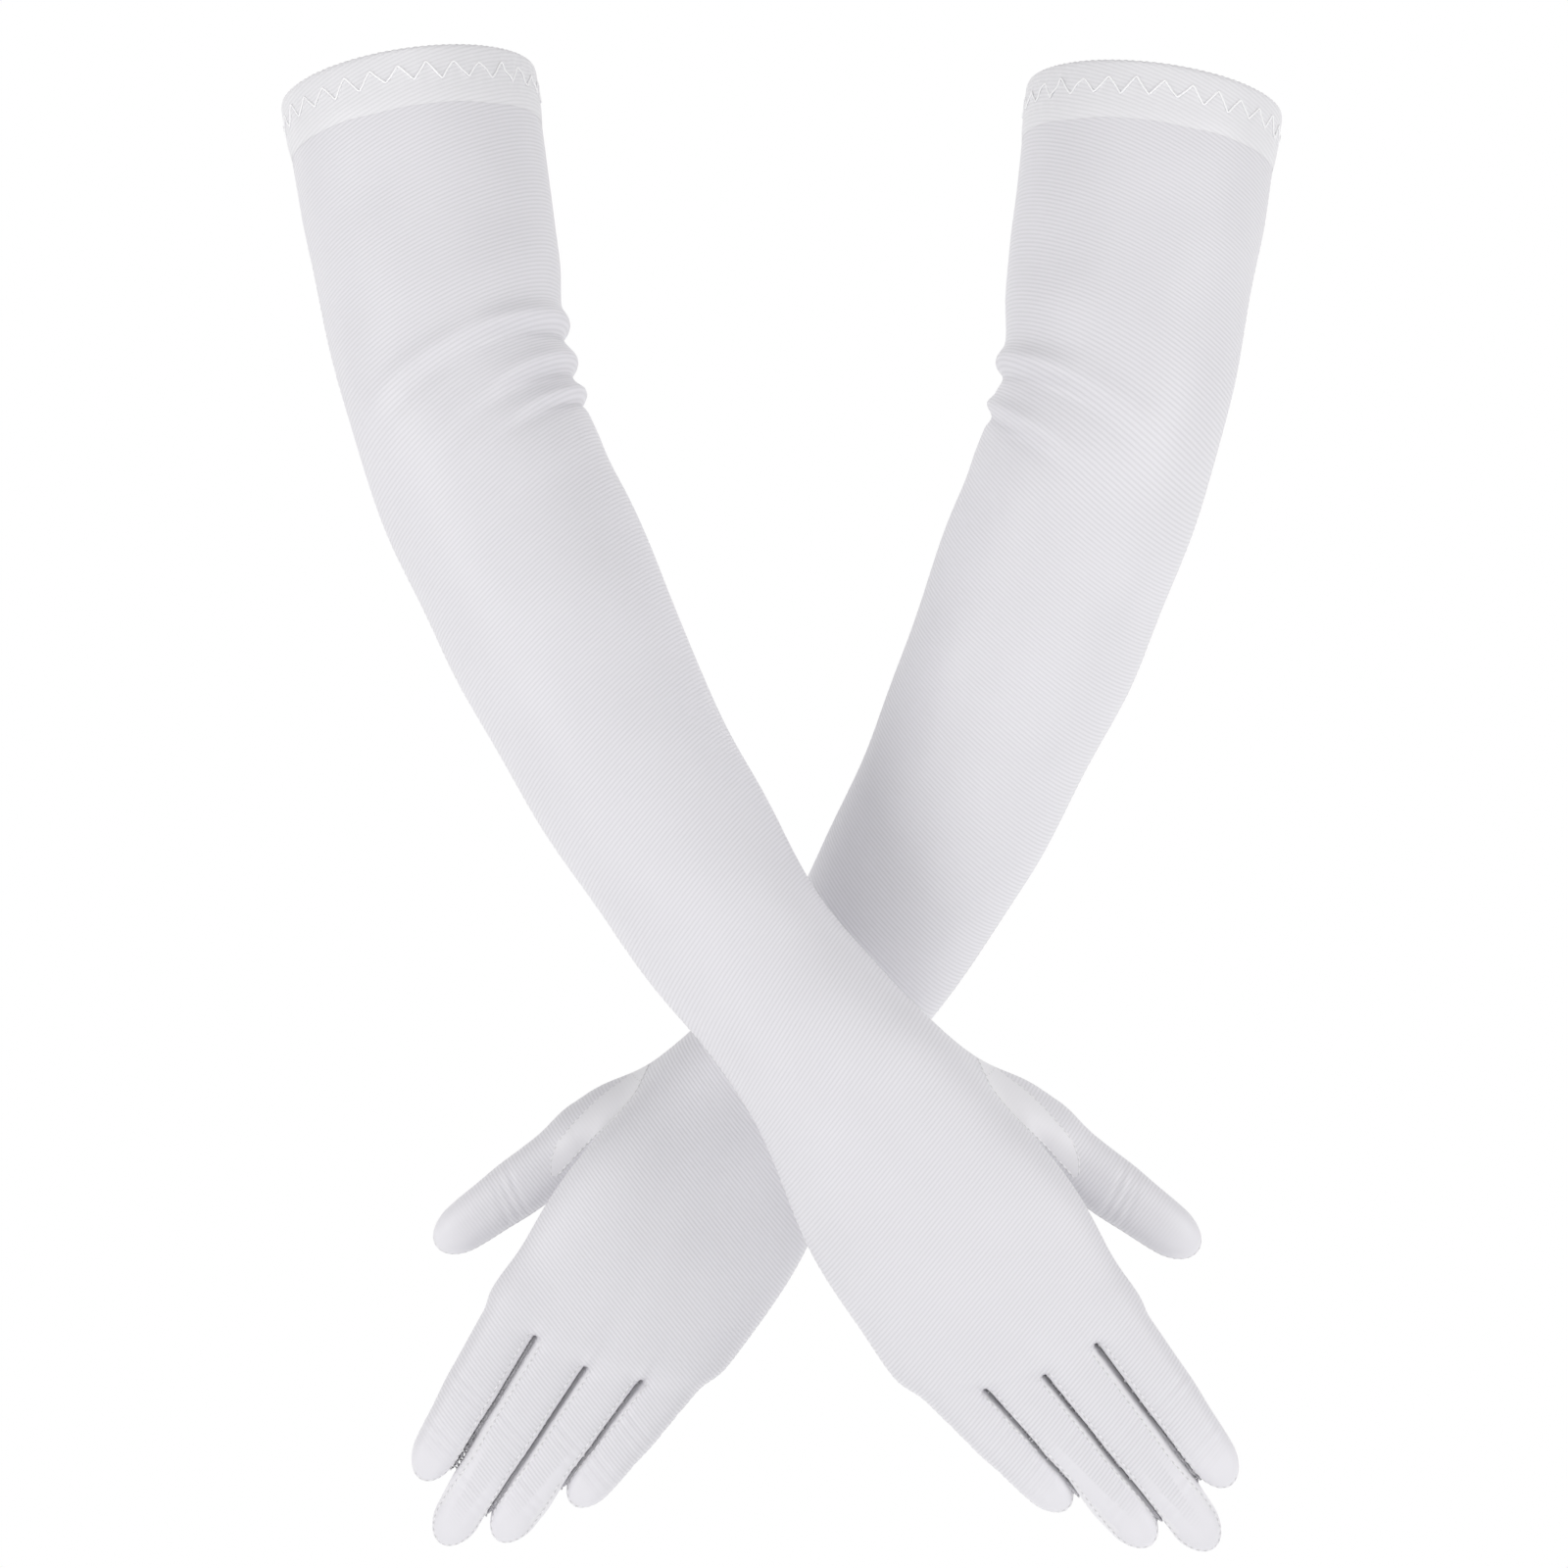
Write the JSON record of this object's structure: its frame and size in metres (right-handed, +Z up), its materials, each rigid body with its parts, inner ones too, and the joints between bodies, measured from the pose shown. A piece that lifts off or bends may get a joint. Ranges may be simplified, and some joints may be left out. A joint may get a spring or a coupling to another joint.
{
  "type": "opera gloves",
  "caption": "Pair of long stretch-satin gloves in worn shape, crossed at the wrists, flexing at elbow, wrist, thumb and every finger joint.",
  "frame": {"origin": "centre of the left glove's arm opening", "axes": "+Z up along the hanging gloves, from fingertips to arm openings; the backs of both hands face -Y; the right glove lies on the -X side at the top and crosses in front"},
  "size_m": [0.3198, 0.1321, 0.4828],
  "materials": {
    "main_cloth": "white stretch satin, fine cross ribs",
    "insert_cloth": "white stretch satin, smooth side out",
    "hem_cloth": "white stretch satin, turned in",
    "seam": "white sewn seam",
    "thread": "white spun thread"
  },
  "bodies": {
    "left_upper": {"left_upper_sleeve": "main_cloth", "left_hem_band": "hem_cloth", "left_hem_thread": "thread", "left_upper_seam": "seam"},
    "left_forearm": {"left_forearm_sleeve": "main_cloth", "left_forearm_seam": "seam", "left_elbow_folds": "main_cloth"},
    "left_hand": {"left_back_panel": "main_cloth", "left_palm_panel": "main_cloth", "left_hand_seam": "seam", "left_thumb_gusset": "insert_cloth"},
    "left_index_base": {"left_index_base": "main_cloth", "left_index_fourchette": "insert_cloth"},
    "left_index_middle": {"left_index_middle": "main_cloth"},
    "left_index_tip": {"left_index_tip": "main_cloth"},
    "left_middle_base": {"left_middle_base": "main_cloth", "left_middle_fourchette": "insert_cloth"},
    "left_middle_middle": {"left_middle_middle": "main_cloth"},
    "left_middle_tip": {"left_middle_tip": "main_cloth"},
    "left_ring_base": {"left_ring_base": "main_cloth", "left_ring_fourchette": "insert_cloth"},
    "left_ring_middle": {"left_ring_middle": "main_cloth"},
    "left_ring_tip": {"left_ring_tip": "main_cloth"},
    "left_little_base": {"left_little_base": "main_cloth", "left_little_fourchette": "insert_cloth"},
    "left_little_middle": {"left_little_middle": "main_cloth"},
    "left_little_tip": {"left_little_tip": "main_cloth"},
    "left_thumb_base": {"left_thumb_base": "main_cloth"},
    "left_thumb_tip": {"left_thumb_tip": "main_cloth"},
    "right_upper": {"right_upper_sleeve": "main_cloth", "right_hem_band": "hem_cloth", "right_hem_thread": "thread", "right_upper_seam": "seam"},
    "right_forearm": {"right_forearm_sleeve": "main_cloth", "right_forearm_seam": "seam", "right_elbow_folds": "main_cloth"},
    "right_hand": {"right_back_panel": "main_cloth", "right_palm_panel": "main_cloth", "right_hand_seam": "seam", "right_thumb_gusset": "insert_cloth"},
    "right_index_base": {"right_index_base": "main_cloth", "right_index_fourchette": "insert_cloth"},
    "right_index_middle": {"right_index_middle": "main_cloth"},
    "right_index_tip": {"right_index_tip": "main_cloth"},
    "right_middle_base": {"right_middle_base": "main_cloth", "right_middle_fourchette": "insert_cloth"},
    "right_middle_middle": {"right_middle_middle": "main_cloth"},
    "right_middle_tip": {"right_middle_tip": "main_cloth"},
    "right_ring_base": {"right_ring_base": "main_cloth", "right_ring_fourchette": "insert_cloth"},
    "right_ring_middle": {"right_ring_middle": "main_cloth"},
    "right_ring_tip": {"right_ring_tip": "main_cloth"},
    "right_little_base": {"right_little_base": "main_cloth", "right_little_fourchette": "insert_cloth"},
    "right_little_middle": {"right_little_middle": "main_cloth"},
    "right_little_tip": {"right_little_tip": "main_cloth"},
    "right_thumb_base": {"right_thumb_base": "main_cloth"},
    "right_thumb_tip": {"right_thumb_tip": "main_cloth"}
  },
  "joints": [
    {"name": "left_elbow_bend", "type": "hinge", "parent": "left_forearm", "child": "left_upper", "pos_m": [-0.01566, -0.01489, -0.10479], "axis": [0, -1, 0], "range_deg": [-15, 80], "stiffness_Nm_per_rad": 0.3, "deforming": ["left_elbow_folds"]},
    {"name": "left_wrist_bend", "type": "hinge", "parent": "left_forearm", "child": "left_hand", "pos_m": [-0.1187, 0.03842, -0.31146], "axis": [0.8387, 0, -0.5446], "range_deg": [-35, 45], "stiffness_Nm_per_rad": 0.05},
    {"name": "left_index_root_bend", "type": "hinge", "parent": "left_hand", "child": "left_index_base", "pos_m": [-0.20846, 0.03842, -0.39386], "axis": [0.8678, 0, -0.497], "range_deg": [-12, 75], "stiffness_Nm_per_rad": 0.002},
    {"name": "left_index_knuckle_bend", "type": "hinge", "parent": "left_index_base", "child": "left_index_middle", "pos_m": [-0.22241, 0.03842, -0.41821], "axis": [0.8678, 0, -0.497], "range_deg": [-4, 90], "stiffness_Nm_per_rad": 0.0005},
    {"name": "left_index_tip_bend", "type": "hinge", "parent": "left_index_middle", "child": "left_index_tip", "pos_m": [-0.2312, 0.03842, -0.43356], "axis": [0.8678, 0, -0.497], "range_deg": [-2.68, 60.3]},
    {"name": "left_middle_root_bend", "type": "hinge", "parent": "left_hand", "child": "left_middle_base", "pos_m": [-0.18842, 0.03842, -0.39972], "axis": [0.8462, 0, -0.5329], "range_deg": [-12, 75], "stiffness_Nm_per_rad": 0.002},
    {"name": "left_middle_knuckle_bend", "type": "hinge", "parent": "left_middle_base", "child": "left_middle_middle", "pos_m": [-0.20828, 0.03842, -0.43125], "axis": [0.8462, 0, -0.5329], "range_deg": [-4, 90], "stiffness_Nm_per_rad": 0.0005},
    {"name": "left_middle_tip_bend", "type": "hinge", "parent": "left_middle_middle", "child": "left_middle_tip", "pos_m": [-0.22079, 0.03842, -0.45113], "axis": [0.8462, 0, -0.5329], "range_deg": [-2.68, 60.3]},
    {"name": "left_ring_root_bend", "type": "hinge", "parent": "left_hand", "child": "left_ring_base", "pos_m": [-0.17108, 0.03842, -0.40681], "axis": [0.8211, 0, -0.5707], "range_deg": [-12, 75], "stiffness_Nm_per_rad": 0.002},
    {"name": "left_ring_knuckle_bend", "type": "hinge", "parent": "left_ring_base", "child": "left_ring_middle", "pos_m": [-0.19038, 0.03842, -0.43457], "axis": [0.8211, 0, -0.5707], "range_deg": [-4, 90], "stiffness_Nm_per_rad": 0.0005},
    {"name": "left_ring_tip_bend", "type": "hinge", "parent": "left_ring_middle", "child": "left_ring_tip", "pos_m": [-0.20255, 0.03842, -0.45208], "axis": [0.8211, 0, -0.5707], "range_deg": [-2.68, 60.3]},
    {"name": "left_little_root_bend", "type": "hinge", "parent": "left_hand", "child": "left_little_base", "pos_m": [-0.15086, 0.03842, -0.40981], "axis": [0.7771, 0, -0.6293], "range_deg": [-12, 75], "stiffness_Nm_per_rad": 0.002},
    {"name": "left_little_knuckle_bend", "type": "hinge", "parent": "left_little_base", "child": "left_little_middle", "pos_m": [-0.16794, 0.03842, -0.4309], "axis": [0.7771, 0, -0.6293], "range_deg": [-4, 90], "stiffness_Nm_per_rad": 0.0005},
    {"name": "left_little_tip_bend", "type": "hinge", "parent": "left_little_middle", "child": "left_little_tip", "pos_m": [-0.1787, 0.03842, -0.4442], "axis": [0.7771, 0, -0.6293], "range_deg": [-2.68, 60.3]},
    {"name": "left_thumb_root_bend", "type": "hinge", "parent": "left_hand", "child": "left_thumb_base", "pos_m": [-0.18111, 0.05942, -0.33412], "axis": [0.5878, 0, -0.809], "range_deg": [-10, 45], "stiffness_Nm_per_rad": 0.002},
    {"name": "left_thumb_tip_bend", "type": "hinge", "parent": "left_thumb_base", "child": "left_thumb_tip", "pos_m": [-0.20914, 0.06306, -0.35449], "axis": [0.5878, 0, -0.809], "range_deg": [-10, 65], "stiffness_Nm_per_rad": 0.0005},
    {"name": "right_elbow_bend", "type": "hinge", "parent": "right_forearm", "child": "right_upper", "pos_m": [-0.22065, -0.01674, -0.10008], "axis": [0, 1, 0], "range_deg": [-15, 80], "stiffness_Nm_per_rad": 0.3, "deforming": ["right_elbow_folds"]},
    {"name": "right_wrist_bend", "type": "hinge", "parent": "right_forearm", "child": "right_hand", "pos_m": [-0.1026, -0.03739, -0.30454], "axis": [0.8434, 0, 0.5373], "range_deg": [-35, 45], "stiffness_Nm_per_rad": 0.05},
    {"name": "right_index_root_bend", "type": "hinge", "parent": "right_hand", "child": "right_index_base", "pos_m": [-0.01356, -0.03739, -0.38773], "axis": [0.8161, 0, 0.5779], "range_deg": [-12, 75], "stiffness_Nm_per_rad": 0.002},
    {"name": "right_index_knuckle_bend", "type": "hinge", "parent": "right_index_base", "child": "right_index_middle", "pos_m": [0.00266, -0.03739, -0.41063], "axis": [0.8161, 0, 0.5779], "range_deg": [-4, 90], "stiffness_Nm_per_rad": 0.0005},
    {"name": "right_index_tip_bend", "type": "hinge", "parent": "right_index_middle", "child": "right_index_tip", "pos_m": [0.01288, -0.03739, -0.42507], "axis": [0.8161, 0, 0.5779], "range_deg": [-2.68, 60.3]},
    {"name": "right_middle_root_bend", "type": "hinge", "parent": "right_hand", "child": "right_middle_base", "pos_m": [-0.03365, -0.03739, -0.39342], "axis": [0.7912, 0, 0.6115], "range_deg": [-12, 75], "stiffness_Nm_per_rad": 0.002},
    {"name": "right_middle_knuckle_bend", "type": "hinge", "parent": "right_middle_base", "child": "right_middle_middle", "pos_m": [-0.01086, -0.03739, -0.4229], "axis": [0.7912, 0, 0.6115], "range_deg": [-4, 90], "stiffness_Nm_per_rad": 0.0005},
    {"name": "right_middle_tip_bend", "type": "hinge", "parent": "right_middle_middle", "child": "right_middle_tip", "pos_m": [0.0035, -0.03739, -0.44148], "axis": [0.7912, 0, 0.6115], "range_deg": [-2.68, 60.3]},
    {"name": "right_ring_root_bend", "type": "hinge", "parent": "right_hand", "child": "right_ring_base", "pos_m": [-0.05105, -0.03739, -0.40035], "axis": [0.7627, 0, 0.6468], "range_deg": [-12, 75], "stiffness_Nm_per_rad": 0.002},
    {"name": "right_ring_knuckle_bend", "type": "hinge", "parent": "right_ring_base", "child": "right_ring_middle", "pos_m": [-0.02918, -0.03739, -0.42614], "axis": [0.7627, 0, 0.6468], "range_deg": [-4, 90], "stiffness_Nm_per_rad": 0.0005},
    {"name": "right_ring_tip_bend", "type": "hinge", "parent": "right_ring_middle", "child": "right_ring_tip", "pos_m": [-0.0154, -0.03739, -0.44239], "axis": [0.7627, 0, 0.6468], "range_deg": [-2.68, 60.3]},
    {"name": "right_little_root_bend", "type": "hinge", "parent": "right_hand", "child": "right_little_base", "pos_m": [-0.0713, -0.03739, -0.40318], "axis": [0.7133, 0, 0.7009], "range_deg": [-12, 75], "stiffness_Nm_per_rad": 0.002},
    {"name": "right_little_knuckle_bend", "type": "hinge", "parent": "right_little_base", "child": "right_little_middle", "pos_m": [-0.05228, -0.03739, -0.42253], "axis": [0.7133, 0, 0.7009], "range_deg": [-4, 90], "stiffness_Nm_per_rad": 0.0005},
    {"name": "right_little_tip_bend", "type": "hinge", "parent": "right_little_middle", "child": "right_little_tip", "pos_m": [-0.04029, -0.03739, -0.43474], "axis": [0.7133, 0, 0.7009], "range_deg": [-2.68, 60.3]},
    {"name": "right_thumb_root_bend", "type": "hinge", "parent": "right_hand", "child": "right_thumb_base", "pos_m": [-0.04039, -0.01639, -0.32775], "axis": [0.5948, 0, 0.8039], "range_deg": [-10, 45], "stiffness_Nm_per_rad": 0.002},
    {"name": "right_thumb_tip_bend", "type": "hinge", "parent": "right_thumb_base", "child": "right_thumb_tip", "pos_m": [-0.01253, -0.01275, -0.34836], "axis": [0.5948, 0, 0.8039], "range_deg": [-10, 65], "stiffness_Nm_per_rad": 0.0005},
    {"name": "right_glove_lift_off", "type": "slide", "parent": "left_forearm", "child": "right_forearm", "axis": [0, -1, 0], "range_m": [0, 0.2]}
  ],
  "couplings": [
    {"joint": "left_index_tip_bend", "follows": "left_index_knuckle_bend", "ratio": 0.67},
    {"joint": "left_middle_tip_bend", "follows": "left_middle_knuckle_bend", "ratio": 0.67},
    {"joint": "left_ring_tip_bend", "follows": "left_ring_knuckle_bend", "ratio": 0.67},
    {"joint": "left_little_tip_bend", "follows": "left_little_knuckle_bend", "ratio": 0.67},
    {"joint": "right_index_tip_bend", "follows": "right_index_knuckle_bend", "ratio": 0.67},
    {"joint": "right_middle_tip_bend", "follows": "right_middle_knuckle_bend", "ratio": 0.67},
    {"joint": "right_ring_tip_bend", "follows": "right_ring_knuckle_bend", "ratio": 0.67},
    {"joint": "right_little_tip_bend", "follows": "right_little_knuckle_bend", "ratio": 0.67}
  ]
}
